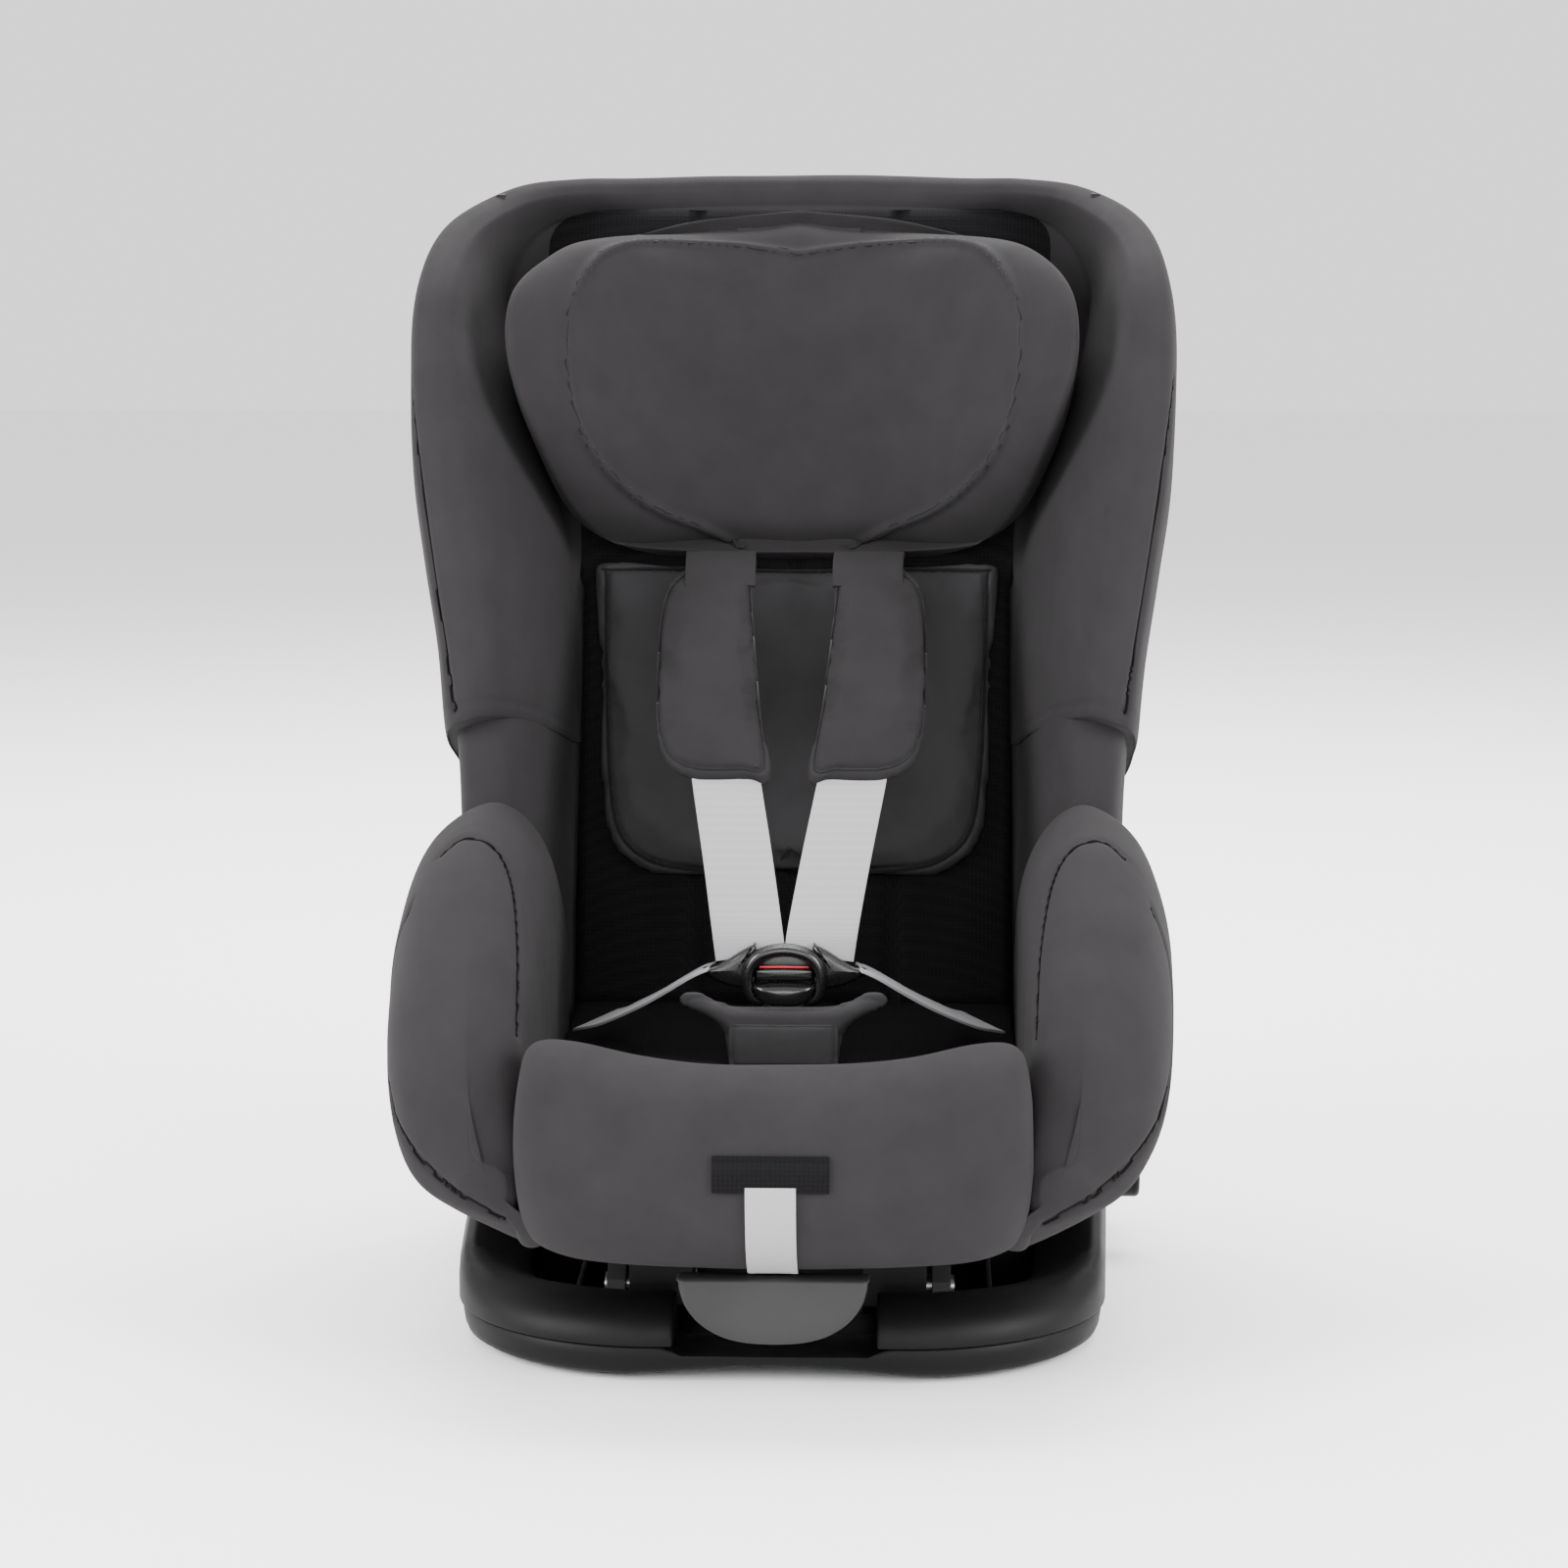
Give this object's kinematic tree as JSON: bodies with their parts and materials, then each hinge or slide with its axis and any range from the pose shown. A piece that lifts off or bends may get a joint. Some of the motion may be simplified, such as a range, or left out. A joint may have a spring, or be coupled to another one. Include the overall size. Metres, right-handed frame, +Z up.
{
  "type": "child car seat",
  "caption": "Padded child seat shell with wings, harness and adjustable headrest that reclines along rails on a tipping frame in a floor-standing base.",
  "frame": {"origin": "on the floor under the middle of the seat's box", "axes": "+Z up, the child looks along -Y, +X is the child's left-hand side"},
  "size_m": [0.45, 0.5349, 0.6422],
  "materials": {
    "cover_fabric": "soft knitted polyester cover, dark grey",
    "mesh_fabric": "black spacer mesh",
    "foam": "expanded polystyrene foam, white",
    "shell_plastic": "moulded polypropylene, fine grain, charcoal",
    "base_plastic": "moulded polypropylene, fine grain, charcoal",
    "handle_plastic": "satin moulded plastic, mid grey",
    "webbing": "woven polyester webbing, light grey",
    "buckle_plastic": "polished black plastic",
    "button_plastic": "red push button",
    "guide_plastic": "red belt guide",
    "steel": "zinc plated steel",
    "frame_steel": "black powder coat",
    "bush_plastic": "acetal bearing",
    "foot_rubber": "anti-slip rubber"
  },
  "bodies": {
    "base": {"base_tray": "base_plastic", "base_frame": "base_plastic", "rear_upright": "base_plastic", "belt_guides": "guide_plastic", "pivot_brackets": "frame_steel", "pivot_shaft": "steel", "rubber_feet": "foot_rubber", "base_screws": "steel"},
    "tilt_release": {"tilt_release_knob": "base_plastic"},
    "tilt_frame": {"tilt_beam_left": "base_plastic", "tilt_beam_right": "base_plastic", "rail_left": "steel", "rail_right": "steel", "pivot_bushes": "bush_plastic", "recline_rack": "steel", "frame_ties": "frame_steel"},
    "shell": {"seat_shell": "shell_plastic", "wing_foam_left": "foam", "wing_foam_right": "foam", "back_foam": "foam", "cover_upper": "cover_fabric", "cover_lower": "cover_fabric", "back_cushion": "mesh_fabric", "back_pad": "cover_fabric", "arm_cover_left": "cover_fabric", "arm_foam_left": "foam", "arm_cover_right": "cover_fabric", "arm_foam_right": "foam", "seat_cushion": "mesh_fabric", "front_cushion": "cover_fabric", "buckle_housing": "buckle_plastic", "crotch_strap": "webbing", "crotch_pad": "cover_fabric", "shoulder_strap_left": "webbing", "shoulder_strap_right": "webbing", "lap_strap_left": "webbing", "lap_strap_right": "webbing", "pull_strap": "webbing", "adjuster_strap": "webbing", "adjuster_housing": "steel", "adjuster_flap": "mesh_fabric", "guide_blocks": "bush_plastic", "slide_shoes": "bush_plastic", "shoe_screws": "steel"},
    "buckle_button": {"buckle_button": "button_plastic"},
    "tongue_left": {"tongue_left": "buckle_plastic"},
    "tongue_right": {"tongue_right": "buckle_plastic"},
    "adjuster_lever": {"adjuster_lever": "buckle_plastic"},
    "headrest": {"headrest_cushion": "cover_fabric", "headrest_shell": "shell_plastic", "headrest_stem": "steel", "shoulder_pad_left": "cover_fabric", "shoulder_pad_right": "cover_fabric", "upper_strap_left": "webbing", "upper_strap_right": "webbing", "splitter_yoke": "steel"},
    "headrest_grip": {"headrest_grip": "shell_plastic"},
    "recline_handle": {"recline_handle": "handle_plastic", "recline_rod": "steel", "latch_pin": "steel"}
  },
  "joints": [
    {"name": "shell_tilt", "type": "hinge", "parent": "base", "child": "tilt_frame", "pos_m": [0, -0.14, 0.034], "axis": [1, 0, 0], "range_deg": [0, 12]},
    {"name": "tilt_knob_pull", "type": "slide", "parent": "base", "child": "tilt_release", "axis": [1, 0, 0], "range_m": [0, 0.012], "stiffness_N_per_m": 250, "springref_m": -0.004},
    {"name": "recline", "type": "hinge", "parent": "tilt_frame", "child": "shell", "pos_m": [0, -0.04, 0.64], "axis": [-1, 0, 0], "range_deg": [0, 12]},
    {"name": "recline_pull", "type": "slide", "parent": "shell", "child": "recline_handle", "axis": [0, -1, 0], "range_m": [0, 0.012], "stiffness_N_per_m": 400, "springref_m": -0.004},
    {"name": "headrest_height", "type": "slide", "parent": "shell", "child": "headrest", "axis": [0, 0.2756, 0.9613], "range_m": [0, 0.11]},
    {"name": "headrest_grip_pull", "type": "slide", "parent": "headrest", "child": "headrest_grip", "axis": [0, 0.2756, 0.9613], "range_m": [0, 0.008], "stiffness_N_per_m": 300, "springref_m": -0.003},
    {"name": "buckle_press", "type": "slide", "parent": "shell", "child": "buckle_button", "axis": [0, 1, 0], "range_m": [0, 0.0035], "stiffness_N_per_m": 2500, "springref_m": -0.001},
    {"name": "tongue_left_out", "type": "slide", "parent": "shell", "child": "tongue_left", "axis": [0, 0, 1], "range_m": [0, 0.02]},
    {"name": "tongue_right_out", "type": "slide", "parent": "shell", "child": "tongue_right", "axis": [0, 0, 1], "range_m": [0, 0.02]},
    {"name": "adjuster_press", "type": "hinge", "parent": "shell", "child": "adjuster_lever", "pos_m": [0, -0.248, 0.13], "axis": [-1, 0, 0], "range_deg": [0, 10], "stiffness_Nm_per_rad": 0.6, "springref_deg": -5.73}
  ]
}
